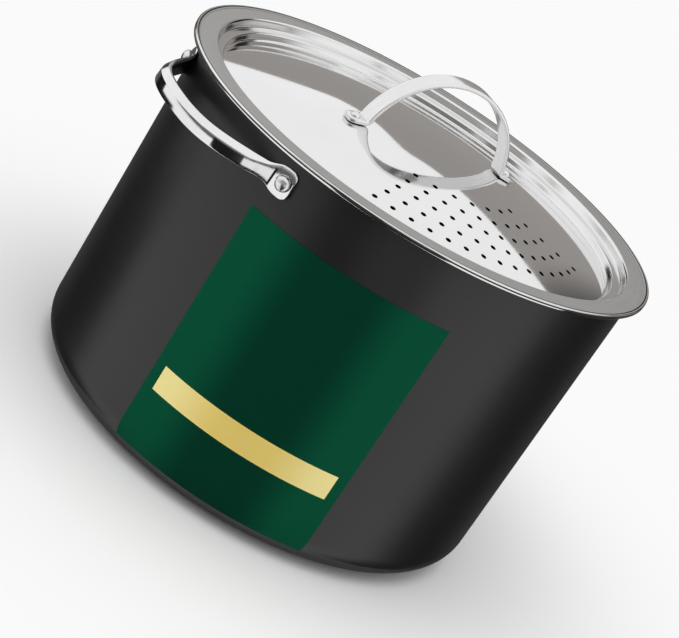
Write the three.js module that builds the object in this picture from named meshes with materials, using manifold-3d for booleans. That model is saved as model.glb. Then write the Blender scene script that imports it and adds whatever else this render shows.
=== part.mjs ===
// Pasta pot with a strainer lid that drops into the mouth and twists to lock under the rim.
// Millimetres, +Z up. The origin is the centre of the base, and the side handles lie along X.

import * as THREE from 'three';
import { mergeVertices } from 'three/addons/utils/BufferGeometryUtils.js';
import Module from 'manifold-3d';

const wasm = await Module();
wasm.setup();

// Fineness of round shapes
const roundSegments = 48;
const rivetSegments = 12;
const holeSides = 8;
const arcSag = 0.2;

// Clearance between pieces that touch on the real pot
const seatGap = 0.3;

// Pot shell
const potHeight = 175;
const potRimRadius = 123.6;
const potTaper = 1.6;
const potWall = 3;
const potFloor = 3.2;
const potCorner = 18;
const rimRound = 0.8;

// Steel disc set into the underside, a little proud so that the pot stands on it
const discRadius = 92;
const discThickness = 2.6;
const discProud = 0.6;
const discChamfer = 0.7;
const grooveCount = 2;
const grooveStart = 34;
const groovePitch = 32;
const grooveWidth = 3;
const grooveDepth = 0.5;

// Twist lock: lugs on the lid pass down through notches in the pot's lip and turn under it
const lockCount = 3;
const lipReach = 1.9;
const lipHeight = 1.8;
const lugLength = 26;
const lugHeight = 1.4;
const lugGap = 0.4;
const lugWallGap = 0.7;
const notchPlay = 3;
const notchRelief = 0.2;

// Side handles: a strap loop on two tangs
const rivetSpan = 111;
const handleDrop = 13.9;
const handleProjection = 25.5;
const strapHeight = 8.8;
const strapThickness = 5;
const strapRound = 1.7;
const tangHeight = 14.4;
const tangTipHeight = 9.6;
const tangThickness = 2.4;
const tangTip = 5;
const tangChamfer = 2.4;
const tangBend = 6.2;
const bendRadius = 3.6;
const bendAngle = THREE.MathUtils.degToRad(20);
const bendReach = 24;
const gripReach = 32;
const gripBlend = 16;
const gripSteps = 11;

// Side rivets
const rivetHeadRadius = 4.1;
const rivetHeadHeight = 2.4;
const rivetShankRadius = 3;
const rivetBackRadius = 5;
const rivetBackHeight = 1.2;
const rivetBackGap = 0.55;

// The locked lid's handle stands a little off the line of the side handles.
const lidTurn = THREE.MathUtils.degToRad(-3.8);

// Lid plate
const lidOverhang = 6.4;
const lidSheet = 0.8;
const lidMouthGap = 0.9;
const flangeSlope = 0.05;
const flangeRound = 1.6;
const stepRound = 1;
const wallDraft = 0.7;
const ledgeDepth = 5;
const ledgeWidth = 4.6;
const floorDepth = 8.8;
const domeRise = 15.5;
const domeSpread = 70;
const domeRings = 5;

// Strainer field, on the side that pours: arcs of holes about the lid's centre
const strainerHole = 3;
const strainerArcs = 5;
const strainerRadius = 51;
const strainerPitch = 10.15;
const strainerCount = 7;
const strainerCountStep = 2;
const strainerHalfAngle = THREE.MathUtils.degToRad(36.4);
const strainerSpread = THREE.MathUtils.degToRad(1.8);

// Rolled band round the lid's edge
const bandReach = 2.6;
const bandWall = 0.55;
const bandRound = 0.9;
const bandEdgeGap = 0.6;

// Lid handle: an arched strap with a flat foot at each end
const archHalfSpan = 42;
const archRise = 35.3;
const archSteps = 20;
const archWidth = 10.5;
const archThickness = 2.2;
const archRound = 0.7;
const footLength = 11;
const footBendRadius = 3.2;
const footRivetOffset = 6.5;

// Lid rivets
const lidRivetHeadRadius = 2.8;
const lidRivetHeadHeight = 1.8;
const lidRivetShankRadius = 1.9;
const lidRivetBackRadius = 3;
const lidRivetBackHeight = 0.9;

// Form of every rivet, as shares of its head and back
const headSideShare = 0.25;
const headCrownReach = 0.7;
const headCrownLevel = 0.8;
const backTipShare = 0.8;

// Sizes that follow from those above
const recessTop = discThickness + seatGap;
const floorTop = recessTop + potFloor;
const potBaseRadius = potRimRadius - potTaper;
const mouthRadius = potRimRadius - potWall;
const lipRadius = mouthRadius - lipReach;
const handleHeight = potHeight - handleDrop;
const rivetAngle = Math.asin(rivetSpan / 2 / potRimRadius);
const lidSeat = potHeight + seatGap;
const lidRadius = potRimRadius + lidOverhang;
const lidWallRadius = lipRadius - lidMouthGap - lidSheet;
const flangeEdge = lidRadius - bandWall - bandEdgeGap;
const flangeLevel = flangeHeight(lidWallRadius);
const ledgeLevel = flangeLevel - ledgeDepth;
const floorLevel = flangeLevel - floorDepth;
const ledgeRadius = lidWallRadius - wallDraft;
const floorRadius = ledgeRadius - ledgeWidth - wallDraft;
const footRivetRadius = archHalfSpan + footRivetOffset;

function wallRadius(height) {
  const share = (height - discProud) / (potHeight - discProud);
  return THREE.MathUtils.lerp(potBaseRadius, potRimRadius, share);
}

// Top of the flange above the lid's seat: it falls towards the edge.
function flangeHeight(radius) {
  return lidSheet + (potRimRadius - radius) * flangeSlope;
}

// Top of the dome above the lid's seat: round in the middle, nearly conical at the edge.
function domeHeight(radius) {
  const edge = Math.hypot(domeSpread, floorRadius);
  const share = (edge - Math.hypot(domeSpread, radius)) / (edge - domeSpread);
  return floorLevel + domeRise * share;
}

// Turns corners given as [x, y] or [x, y, radius] into points, with a tangent arc at each radius.
function rounded(corners) {
  const points = [];
  corners.forEach(([x, y, radius], i) => {
    const corner = new THREE.Vector2(x, y);
    if (!radius) {
      points.push(corner);
      return;
    }
    const back = new THREE.Vector2(...corners[i - 1].slice(0, 2)).sub(corner).normalize();
    const ahead = new THREE.Vector2(...corners[i + 1].slice(0, 2)).sub(corner).normalize();
    const half = Math.acos(back.dot(ahead)) / 2;
    const middle = back.clone().add(ahead).setLength(radius / Math.sin(half)).add(corner);
    const start = back.clone().setLength(radius / Math.tan(half)).add(corner);
    const sweep = (Math.PI - 2 * half) * Math.sign(ahead.cross(back));
    const step = 2 * Math.acos(Math.max(0, 1 - arcSag / radius));
    const steps = Math.max(2, Math.round(Math.abs(sweep) / step));
    for (let k = 0; k <= steps; k += 1) {
      points.push(start.clone().rotateAround(middle, (sweep * k) / steps));
    }
  });
  return points;
}

// Moves a line of points sideways, to the right of its run. A first point on the axis stays there.
function shifted(points, distance) {
  const normals = points.slice(1).map((point, i) => {
    const run = point.clone().sub(points[i]).normalize();
    return new THREE.Vector2(run.y, -run.x);
  });
  return points.map((point, i) => {
    const before = normals[Math.max(i - 1, 0)];
    const after = normals[Math.min(i, normals.length - 1)];
    const mitre = before.clone().add(after).normalize();
    const moved = point.clone().addScaledVector(mitre, distance / mitre.dot(after));
    if (point.x === 0) moved.x = 0;
    return moved;
  });
}

// Shares equal vertices and drops the triangles that collapse at a pole.
function weld(geometry) {
  geometry.deleteAttribute('normal');
  geometry.deleteAttribute('uv');
  const merged = mergeVertices(geometry);
  const corners = Array.from(merged.index.array);
  const kept = [];
  for (let i = 0; i < corners.length; i += 3) {
    const [a, b, c] = corners.slice(i, i + 3);
    if (a !== b && b !== c && c !== a) kept.push(a, b, c);
  }
  merged.setIndex(kept);
  return merged;
}

function solidOf(geometry) {
  const welded = weld(geometry);
  return new wasm.Manifold(new wasm.Mesh({
    numProp: 3,
    vertProperties: new Float32Array(welded.attributes.position.array),
    triVerts: new Uint32Array(welded.index.array),
  }));
}

function geometryOf(solid) {
  const mesh = solid.getMesh();
  const geometry = new THREE.BufferGeometry();
  geometry.setAttribute('position', new THREE.BufferAttribute(mesh.vertProperties, 3));
  geometry.setIndex(new THREE.BufferAttribute(mesh.triVerts, 1));
  return geometry;
}

function cut(geometry, tools) {
  const start = solidOf(geometry);
  return geometryOf(tools.reduce((solid, tool) => solid.subtract(solidOf(tool)), start));
}

function join(geometry, extras) {
  const start = solidOf(geometry);
  return geometryOf(extras.reduce((solid, extra) => solid.add(solidOf(extra)), start));
}

// Revolves a profile of (radius, height) points about Z. It runs outwards along its underside.
function revolve(profile, segments) {
  return weld(new THREE.LatheGeometry(profile, segments).rotateX(Math.PI / 2));
}

function closed(profile) {
  return [...profile, profile[0]];
}

// A round tool along Z, from one height to another.
function drill(radius, bottom, top, sides) {
  const tool = new THREE.CylinderGeometry(radius, radius, top - bottom, sides);
  return tool.rotateX(Math.PI / 2).translate(0, 0, (top + bottom) / 2);
}

// A piece of a flat ring about Z, centred on an angle, with its length measured at the outer radius.
function ringPiece(inner, outer, angle, length, bottom, top) {
  const half = length / 2 / outer;
  const shape = new THREE.Shape();
  shape.absarc(0, 0, outer, angle - half, angle + half, false);
  shape.absarc(0, 0, inner, angle + half, angle - half, true);
  const depth = top - bottom;
  const piece = new THREE.ExtrudeGeometry(shape, { depth, bevelEnabled: false, curveSegments: 4 });
  return piece.translate(0, 0, bottom);
}

// Outline of a bar with rounded edges, as (out, across) points: out starts at the bar's inner face.
function barSection(thickness, width, radius) {
  const out = thickness / 2 - radius;
  const across = width / 2 - radius;
  const points = [];
  [[1, 1], [-1, 1], [-1, -1], [1, -1]].forEach(([sideOut, sideAcross], quarter) => {
    for (let k = 0; k <= 2; k += 1) {
      const turn = (quarter + k / 2) * (Math.PI / 2);
      const x = thickness / 2 + sideOut * out + radius * Math.cos(turn);
      const y = sideAcross * across + radius * Math.sin(turn);
      points.push(new THREE.Vector2(x, y));
    }
  });
  return points;
}

// Sweeps a bar through stations. Each holds the middle of the bar's inner face, the way out of that
// face, the way across the bar, and the bar's thickness, width and edge radius there.
function sweepBar(stations) {
  const positions = [];
  let ringSize = 0;
  stations.forEach(({ point, out, across, thickness, width, radius }) => {
    const section = barSection(thickness, width, radius);
    ringSize = section.length;
    section.forEach(({ x, y }) => {
      const vertex = point.clone().addScaledVector(out, x).addScaledVector(across, y);
      positions.push(vertex.x, vertex.y, vertex.z);
    });
  });
  const index = [];
  const lastRing = (stations.length - 1) * ringSize;
  for (let base = 0; base < lastRing; base += ringSize) {
    for (let j = 0; j < ringSize; j += 1) {
      const k = (j + 1) % ringSize;
      index.push(base + j, base + k, base + ringSize + k);
      index.push(base + j, base + ringSize + k, base + ringSize + j);
    }
  }
  for (let j = 1; j < ringSize - 1; j += 1) {
    index.push(0, j + 1, j);
    index.push(lastRing, lastRing + j, lastRing + j + 1);
  }
  const geometry = new THREE.BufferGeometry();
  geometry.setAttribute('position', new THREE.Float32BufferAttribute(positions, 3));
  geometry.setIndex(index);
  return geometry;
}

// Way along a line of points at each of them.
function runs(points) {
  return points.map((point, i) => {
    const before = points[Math.max(i - 1, 0)];
    const after = points[Math.min(i + 1, points.length - 1)];
    return after.clone().sub(before).normalize();
  });
}

// Value at a length, on straight lines between [length, value] pairs.
function valueAt(pairs, length) {
  const next = pairs.findIndex(([mark]) => mark >= length);
  if (next === 0) return pairs[0][1];
  if (next < 0) return pairs[pairs.length - 1][1];
  const [fromMark, fromValue] = pairs[next - 1];
  const [toMark, toValue] = pairs[next];
  return THREE.MathUtils.mapLinear(length, fromMark, toMark, fromValue, toValue);
}

function material(color, roughness, metalness) {
  return new THREE.MeshStandardMaterial({ color, roughness, metalness });
}

function darkCoat() {
  return material('#2b2d2d', 0.5, 0.3);
}

function polishedSteel() {
  return material('#d6d6d6', 0.12, 1);
}

function satinSteel() {
  return material('#a8a7a5', 0.35, 1);
}

function piece(name, geometry, finish) {
  const mesh = new THREE.Mesh(geometry, finish);
  mesh.name = name;
  return mesh;
}

function makePotBody() {
  const lipBottom = potHeight - lipHeight;
  const recessRadius = discRadius + seatGap;
  const profile = rounded([
    [0, recessTop],
    [recessRadius, recessTop],
    [recessRadius, discProud],
    [potBaseRadius, discProud, potCorner],
    [potRimRadius, potHeight, rimRound],
    [lipRadius, potHeight, rimRound / 2],
    [lipRadius, lipBottom],
    [wallRadius(lipBottom) - potWall, lipBottom],
    [wallRadius(floorTop) - potWall, floorTop, potCorner - potWall],
    [0, floorTop],
  ]);
  const notchOuter = mouthRadius + notchRelief;
  const notchLength = lugLength + 2 * notchPlay;
  const notchBottom = lipBottom - lugGap;
  const notchTop = potHeight + lipHeight;
  const notches = lockAngles().map((angle) => (
    ringPiece(lipRadius - lipReach, notchOuter, angle + lidTurn, notchLength, notchBottom, notchTop)
  ));
  const rivetHoles = [0, Math.PI].flatMap((turn) => (
    [1, -1].map((side) => rivetDrill().applyMatrix4(sideRivetFrame(side)).rotateZ(turn))
  ));
  return cut(revolve(profile, roundSegments), [...notches, ...rivetHoles]);
}

function lockAngles() {
  return Array.from({ length: lockCount }, (_, i) => Math.PI / 2 + (i * 2 * Math.PI) / lockCount);
}

function makeBaseDisc() {
  const grooves = Array.from({ length: grooveCount }, (_, i) => {
    const middle = grooveStart + i * groovePitch;
    return [[middle - grooveWidth / 2, 0], [middle, grooveDepth], [middle + grooveWidth / 2, 0]];
  });
  const profile = rounded([
    [0, 0],
    ...grooves.flat(),
    [discRadius - discChamfer, 0],
    [discRadius, discChamfer],
    [discRadius, discThickness],
    [0, discThickness],
  ]);
  return revolve(profile, roundSegments);
}

// Place of a side rivet on the handle at +X: its Z axis points out of the wall, from the tang's face.
function sideRivetFrame(side) {
  const angle = side * rivetAngle;
  const radius = wallRadius(handleHeight) + seatGap + tangThickness;
  return new THREE.Matrix4()
    .makeRotationZ(angle)
    .multiply(new THREE.Matrix4().makeTranslation(radius, 0, handleHeight))
    .multiply(new THREE.Matrix4().makeRotationY(Math.PI / 2));
}

function rivetDrill() {
  const depth = tangThickness + seatGap + potWall + rivetBackHeight;
  return drill(rivetShankRadius + seatGap, -depth, strapThickness, rivetSegments);
}

// Inner face of a side handle, seen from above, from the tip of one tang to the middle of the grip.
function handleHalfPath() {
  const seat = wallRadius(handleHeight) + seatGap;
  const onSeat = (angle) => new THREE.Vector2(seat, 0).rotateAround(new THREE.Vector2(), angle);
  const tipAngle = rivetAngle + tangTip / seat;
  const leaveAngle = rivetAngle - tangBend / seat;
  const leave = onSeat(leaveAngle);
  const lift = new THREE.Vector2(0, -1).rotateAround(new THREE.Vector2(), leaveAngle + bendAngle);
  const gripFace = wallRadius(handleHeight) + handleProjection - strapThickness;
  const curve = new THREE.CubicBezierCurve(
    leave,
    leave.clone().addScaledVector(lift, bendReach),
    new THREE.Vector2(gripFace, gripReach),
    new THREE.Vector2(gripFace, 0),
  );
  const corners = [
    onSeat(tipAngle).toArray(),
    onSeat(rivetAngle).toArray(),
    [...leave.toArray(), bendRadius],
    ...curve.getPoints(gripSteps).slice(1).map((point) => point.toArray()),
  ];
  return rounded(corners);
}

function makeSideHandle() {
  const half = handleHalfPath();
  const marks = half.reduce((list, point, i) => (
    [...list, i === 0 ? 0 : list[i - 1] + point.distanceTo(half[i - 1])]
  ), []);
  const bendMark = tangTip + tangBend;
  const heights = [
    [0, tangTipHeight],
    [tangChamfer, tangHeight],
    [tangTip + rivetHeadRadius, tangHeight],
    [bendMark + tangBend, strapHeight],
  ];
  const depths = [[0, tangThickness], [bendMark, tangThickness], [bendMark + gripBlend, strapThickness]];
  const chamferPoint = half[0].clone().lerp(half[1], tangChamfer / marks[1]);
  const path = [half[0], chamferPoint, ...half.slice(1)];
  const lengths = [0, tangChamfer, ...marks.slice(1)];
  const mirrored = path.slice(0, -1).reverse().map((point) => new THREE.Vector2(point.x, -point.y));
  const whole = [...path, ...mirrored];
  const wholeLengths = [...lengths, ...lengths.slice(0, -1).reverse()];
  const ways = runs(whole);
  const stations = whole.map((point, i) => {
    const thickness = valueAt(depths, wholeLengths[i]);
    return {
      point: new THREE.Vector3(point.x, point.y, handleHeight),
      out: new THREE.Vector3(-ways[i].y, ways[i].x, 0),
      across: new THREE.Vector3(0, 0, 1),
      thickness,
      width: valueAt(heights, wholeLengths[i]),
      radius: (strapRound * thickness) / strapThickness,
    };
  });
  const holes = [1, -1].map((side) => rivetDrill().applyMatrix4(sideRivetFrame(side)));
  return cut(sweepBar(stations), holes);
}

// A rivet along Z. Its head sits on the face at height 0, and its back lies under the clamped stack.
function makeRivet(head, shankRadius, back, stack) {
  const backTop = -stack;
  const backBottom = backTop - back.height;
  const top = seatGap + head.height;
  const crownRadius = head.radius * headCrownReach;
  const crownLevel = seatGap + head.height * headCrownLevel;
  const profile = rounded([
    [0, backBottom],
    [back.radius * backTipShare, backBottom],
    [back.radius, backTop],
    [shankRadius, backTop],
    [shankRadius, seatGap],
    [head.radius, seatGap],
    [head.radius, seatGap + head.height * headSideShare],
    [crownRadius, crownLevel],
    [0, top],
  ]);
  return revolve(profile, rivetSegments);
}

function makeSideRivet() {
  const stack = tangThickness + seatGap + potWall + rivetBackGap;
  const head = { radius: rivetHeadRadius, height: rivetHeadHeight };
  const back = { radius: rivetBackRadius, height: rivetBackHeight };
  return makeRivet(head, rivetShankRadius, back, stack);
}

function makeLidRivet() {
  const stack = archThickness + seatGap + lidSheet + seatGap;
  const head = { radius: lidRivetHeadRadius, height: lidRivetHeadHeight };
  const back = { radius: lidRivetBackRadius, height: lidRivetBackHeight };
  return makeRivet(head, lidRivetShankRadius, back, stack);
}

// Place of a lid rivet: its Z axis stands square on the dome, from the top face of the foot.
function lidRivetFrame(side) {
  const slope = (domeHeight(footRivetRadius + 1) - domeHeight(footRivetRadius - 1)) / 2;
  const tilt = Math.atan(-slope);
  const lift = seatGap + archThickness;
  return new THREE.Matrix4()
    .makeTranslation(side * footRivetRadius, 0, domeHeight(footRivetRadius))
    .multiply(new THREE.Matrix4().makeRotationY(side * tilt))
    .multiply(new THREE.Matrix4().makeTranslation(0, 0, lift));
}

function lidRivetDrill() {
  const depth = archThickness + seatGap + lidSheet + lidRivetBackHeight;
  return drill(lidRivetShankRadius + seatGap, -depth, archThickness, rivetSegments);
}

// Holes of the strainer field, on arcs that grow longer and hold more holes towards the edge.
function strainerSpots() {
  const arcs = Array.from({ length: strainerArcs }, (_, arc) => {
    const radius = strainerRadius + arc * strainerPitch;
    const half = strainerHalfAngle + arc * strainerSpread;
    const count = strainerCount + arc * strainerCountStep;
    return Array.from({ length: count }, (__, i) => {
      const angle = half * ((2 * i) / (count - 1) - 1) - Math.PI / 2;
      return [radius * Math.cos(angle), radius * Math.sin(angle)];
    });
  });
  return arcs.flat();
}

function makeLidPlate() {
  const dome = Array.from({ length: domeRings }, (_, i) => {
    const radius = (floorRadius * i) / domeRings;
    return [radius, domeHeight(radius)];
  });
  const topFace = rounded([
    ...dome,
    [floorRadius, floorLevel, stepRound],
    [floorRadius + wallDraft, ledgeLevel, stepRound],
    [ledgeRadius, ledgeLevel, stepRound],
    [lidWallRadius, flangeLevel, flangeRound],
    [flangeEdge, flangeHeight(flangeEdge)],
  ]);
  const underside = shifted(topFace, lidSheet);
  const shell = revolve([...underside, ...topFace.slice().reverse()], roundSegments);
  const lugTop = potHeight - lipHeight - lugGap - lidSeat;
  const lugInner = ledgeRadius + lidSheet / 2;
  const lugOuter = mouthRadius - lugWallGap;
  const lugs = lockAngles().map((angle) => (
    ringPiece(lugInner, lugOuter, angle, lugLength, lugTop - lugHeight, lugTop)
  ));
  const holeTop = domeHeight(0) + lidSheet;
  const holeBottom = floorLevel - lidSheet * 2;
  const strainer = strainerSpots().map(([x, y]) => (
    drill(strainerHole / 2, holeBottom, holeTop, holeSides).translate(x, y, 0)
  ));
  const rivetHoles = [1, -1].map((side) => lidRivetDrill().applyMatrix4(lidRivetFrame(side)));
  return cut(join(shell, lugs), [...strainer, ...rivetHoles]);
}

function makeRimBand() {
  const inner = lidRadius - bandReach;
  const slotOuter = lidRadius - bandWall;
  const slotBottom = flangeHeight(slotOuter) - lidSheet - seatGap;
  const slotTop = flangeHeight(inner) + seatGap;
  const profile = rounded([
    [inner, slotBottom - bandWall],
    [lidRadius, slotBottom - bandWall, bandRound],
    [lidRadius, slotTop + bandWall, bandRound],
    [inner, slotTop + bandWall],
    [inner, slotTop],
    [slotOuter, slotTop],
    [slotOuter, slotBottom],
    [inner, slotBottom],
  ]);
  return revolve(closed(profile), roundSegments);
}

// Underside of the lid handle in the XZ plane, from the tip of one foot to the tip of the other.
function archPath() {
  const onDome = (x) => [x, domeHeight(Math.abs(x)) + seatGap];
  const base = onDome(archHalfSpan)[1];
  const radius = (archHalfSpan ** 2 + archRise ** 2) / (2 * archRise);
  const half = Math.PI - Math.acos((archRise - radius) / radius);
  const arc = Array.from({ length: archSteps - 1 }, (_, i) => {
    const angle = half * ((2 * (i + 1)) / archSteps - 1);
    return [radius * Math.sin(angle), base + archRise - radius + radius * Math.cos(angle)];
  });
  return rounded([
    onDome(-archHalfSpan - footLength),
    [...onDome(-archHalfSpan), footBendRadius],
    ...arc,
    [...onDome(archHalfSpan), footBendRadius],
    onDome(archHalfSpan + footLength),
  ]);
}

function makeLidHandle() {
  const path = archPath();
  const ways = runs(path);
  const stations = path.map((point, i) => ({
    point: new THREE.Vector3(point.x, 0, point.y),
    out: new THREE.Vector3(-ways[i].y, 0, ways[i].x),
    across: new THREE.Vector3(0, -1, 0),
    thickness: archThickness,
    width: archWidth,
    radius: archRound,
  }));
  const holes = [1, -1].map((side) => lidRivetDrill().applyMatrix4(lidRivetFrame(side)));
  return cut(sweepBar(stations), holes);
}

function handleGroup(name, turn) {
  const group = new THREE.Group();
  group.rotation.z = turn;
  group.add(piece(`${name}_handle`, makeSideHandle(), polishedSteel()));
  [['far', 1], ['near', -1]].forEach(([end, side]) => {
    const facing = turn === 0 ? side : -side;
    const rivet = piece(`${name}_rivet_${end}`, makeSideRivet(), polishedSteel());
    rivet.applyMatrix4(sideRivetFrame(facing));
    group.add(rivet);
  });
  return group;
}

function lidGroup() {
  const group = new THREE.Group();
  group.position.z = lidSeat;
  group.rotation.z = lidTurn;
  group.add(piece('lid_plate', makeLidPlate(), satinSteel()));
  group.add(piece('lid_rim_band', makeRimBand(), polishedSteel()));
  group.add(piece('lid_handle', makeLidHandle(), polishedSteel()));
  [['left', -1], ['right', 1]].forEach(([end, side]) => {
    const rivet = piece(`lid_rivet_${end}`, makeLidRivet(), polishedSteel());
    rivet.applyMatrix4(lidRivetFrame(side));
    group.add(rivet);
  });
  return group;
}

const pastaPot = new THREE.Group();
pastaPot.add(piece('pot_body', makePotBody(), darkCoat()));
pastaPot.add(piece('base_disc', makeBaseDisc(), satinSteel()));
pastaPot.add(handleGroup('left', Math.PI));
pastaPot.add(handleGroup('right', 0));
pastaPot.add(lidGroup());

export default pastaPot;
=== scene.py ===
import math
from functools import partial

import bpy
from mathutils import Matrix, Vector


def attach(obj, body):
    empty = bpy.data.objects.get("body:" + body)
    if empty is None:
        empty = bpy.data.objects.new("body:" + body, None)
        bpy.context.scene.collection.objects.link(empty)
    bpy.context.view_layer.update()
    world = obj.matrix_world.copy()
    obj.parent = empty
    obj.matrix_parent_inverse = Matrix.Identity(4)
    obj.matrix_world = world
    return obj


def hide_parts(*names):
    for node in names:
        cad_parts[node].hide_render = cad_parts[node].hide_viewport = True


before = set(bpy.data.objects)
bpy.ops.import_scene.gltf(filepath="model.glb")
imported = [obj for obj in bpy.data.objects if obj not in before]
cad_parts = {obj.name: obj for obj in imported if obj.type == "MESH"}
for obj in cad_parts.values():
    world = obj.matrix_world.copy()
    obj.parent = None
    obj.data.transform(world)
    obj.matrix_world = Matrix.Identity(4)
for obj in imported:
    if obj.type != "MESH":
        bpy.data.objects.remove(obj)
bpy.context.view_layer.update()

scene = bpy.context.scene
scene.view_settings.view_transform = "Standard"

mm = 0.001  # sizes below are in millimetres, meshes in metres
seatGap = 0.3  # clearance between pieces that touch
hair = 0.01  # rounding allowance where heights are compared
lidTurn = math.radians(-3.8)  # the lid's handle stands a little off the side handles


# shared mesh helpers

# corners are (x, y) or (x, y, radius); a radius becomes a tangent arc
def roundCorners(corners, sag=0.01, steps=None):
    points = []
    for i, corner in enumerate(corners):
        here = Vector(corner[:2])
        if len(corner) < 3:
            points.append(here)
            continue
        radius = corner[2]
        back = (Vector(corners[i - 1][:2]) - here).normalized()
        ahead = (Vector(corners[(i + 1) % len(corners)][:2]) - here).normalized()
        half = back.angle(ahead) / 2
        middle = here + (back + ahead).normalized() * radius / math.sin(half)
        start = here + back * radius / math.tan(half)
        sweep = math.copysign(math.pi - 2 * half, ahead.cross(back))
        count = steps or max(3, round(abs(sweep) / (2 * math.acos(1 - sag / radius))))
        for k in range(count + 1):
            points.append(middle + Matrix.Rotation(sweep * k / count, 2) @ (start - middle))
    return points


# the line moved sideways, to the right of its run; a start on the axis stays on it
def offsetLine(points, distance):
    sides = []
    for here, after in zip(points, points[1:]):
        run = (after - here).normalized()
        sides.append(Vector((run.y, -run.x)))
    moved = []
    for i, point in enumerate(points):
        before, after = sides[max(i - 1, 0)], sides[min(i, len(sides) - 1)]
        mitre = (before + after).normalized()
        shifted = point + mitre * distance / mitre.dot(after)
        moved.append(Vector((0, shifted.y)) if point.x == 0 else shifted)
    return moved


def turned(radius, angle, height):
    return (radius * math.cos(angle), radius * math.sin(angle), height)


# turns a profile of (radius, height) about Z; it runs outwards along its underside
def latheShape(profile, segments, closed=False):
    verts, rings = [], []
    for radius, height in profile:
        count = 1 if radius < 1e-6 else segments
        rings.append(range(len(verts), len(verts) + count))
        verts += [turned(radius, 2 * math.pi * j / segments, height) for j in range(count)]
    faces = []
    for low, high in zip(rings, rings[1:] + ([rings[0]] if closed else [])):
        for j in range(segments):
            k = (j + 1) % segments
            loop = (low[j % len(low)], low[k % len(low)], high[k % len(high)], high[j % len(high)])
            faces.append(list(dict.fromkeys(loop)))
    return verts, faces


# lofts sections along stations of point, out, across and section; uv runs along and around
def sweepShape(stations):
    verts, faces, uvs = [], [], []
    count = len(stations[0]["section"])
    length, rows = 0, []
    for i, spot in enumerate(stations):
        if i:
            length += (spot["point"] - stations[i - 1]["point"]).length
        around, row = 0, []
        for j, (x, y) in enumerate(spot["section"]):
            row.append((length * mm, around * mm))
            nextX, nextY = spot["section"][(j + 1) % count]
            around += math.hypot(nextX - x, nextY - y)
            verts.append(spot["point"] + spot["out"] * x + spot["across"] * y)
        row.append((length * mm, around * mm))
        rows.append(row)
    for i in range(len(stations) - 1):
        a, b = i * count, (i + 1) * count
        for j in range(count):
            k = (j + 1) % count
            faces.append((a + j, a + k, b + k, b + j))
            uvs.append((rows[i][j], rows[i][j + 1], rows[i + 1][j + 1], rows[i + 1][j]))
    last = (len(stations) - 1) * count
    for cap in (range(count - 1, -1, -1), range(last, last + count)):
        faces.append(list(cap))
        uvs.append([rows[0 if cap[0] < count else -1][j % count] for j in cap])
    return verts, faces, uvs


def newPiece(name, verts, faces, uvs=None, sharp=32):
    mesh = bpy.data.meshes.new(name)
    mesh.from_pydata([Vector(v) * mm for v in verts], [], faces)
    if uvs:
        layer = mesh.uv_layers.new(name="finishMap")
        layer.data.foreach_set("uv", [value for face in uvs for spot in face for value in spot])
    smoothMesh(mesh, sharp)
    piece = bpy.data.objects.new(name, mesh)
    scene.collection.objects.link(piece)
    return piece


def smoothMesh(mesh, sharp):
    mesh.shade_smooth()
    mesh.set_sharp_from_angle(angle=math.radians(sharp))


def addFinishes(piece, *finishes):
    for finish in finishes:
        piece.data.materials.append(finish)


def faceSpot(face):
    return math.hypot(*face.center.xy) / mm, face.center.z / mm


def blend(first, second, share):
    return first + (second - first) * share


# the length run along a line up to each of its points
def runLengths(points):
    lengths = [0]
    for before, after in zip(points, points[1:]):
        lengths.append(lengths[-1] + (after - before).length)
    return lengths


def directions(points):
    ends = [points[0], *points, points[-1]]
    return [(after - before).normalized() for before, after in zip(ends, ends[2:])]


def smoothStep(low, high, value):
    share = min(1, max(0, (value - low) / (high - low)))
    return share * share * (3 - 2 * share)


# rounded tip of a flat bar: its width at a length from the end
def tipWidth(length, reach, endWidth, width):
    if length >= reach:
        return width
    return endWidth + (width - endWidth) * math.sqrt(1 - (1 - length / reach) ** 2)


# shared node helpers

def feed(tree, socket, value):
    if isinstance(value, bpy.types.NodeSocket):
        tree.links.new(value, socket)
    elif value is not None:
        socket.default_value = value


# a new node with its settings, its first inputs fed in order
def addNode(tree, kind, *values, **settings):
    node = tree.nodes.new(kind)
    for key, value in settings.items():
        setattr(node, key, value)
    for socket, value in zip(node.inputs, values):
        feed(tree, socket, value)
    return node


def feedNamed(tree, node, values):
    for label, value in values.items():
        feed(tree, node.inputs[label], value)
    return node


def namedNode(tree, kind, values, **settings):
    return feedNamed(tree, addNode(tree, kind, **settings), values)


def mathNode(tree, operation, *values):
    return addNode(tree, "ShaderNodeMath", *values, operation=operation).outputs[0]


def vectorMath(tree, operation, *values):
    node = addNode(tree, "ShaderNodeVectorMath", *values, operation=operation)
    return node.outputs["Value" if operation in {"LENGTH", "DOT_PRODUCT"} else "Vector"]


def split(tree, vector):
    return addNode(tree, "ShaderNodeSeparateXYZ", vector).outputs


def combine(tree, *values):
    return addNode(tree, "ShaderNodeCombineXYZ", *values).outputs[0]


def mapRange(tree, value, fromLow, fromHigh, low, high, smooth=False):
    return addNode(tree, "ShaderNodeMapRange", value, fromLow, fromHigh, low, high,
                   interpolation_type="SMOOTHSTEP" if smooth else "LINEAR").outputs[0]


def mixColour(tree, share, first, second):
    node = addNode(tree, "ShaderNodeMix", share, data_type="RGBA")
    feed(tree, node.inputs[6], first)
    feed(tree, node.inputs[7], second)
    return node.outputs[2]


def grey(value):
    return (value, value, value, 1)


def warmGrey(value):
    return (value, value * 0.985, value * 0.96, 1)


# shared surface effects, each giving masks from 0 to 1

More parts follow.
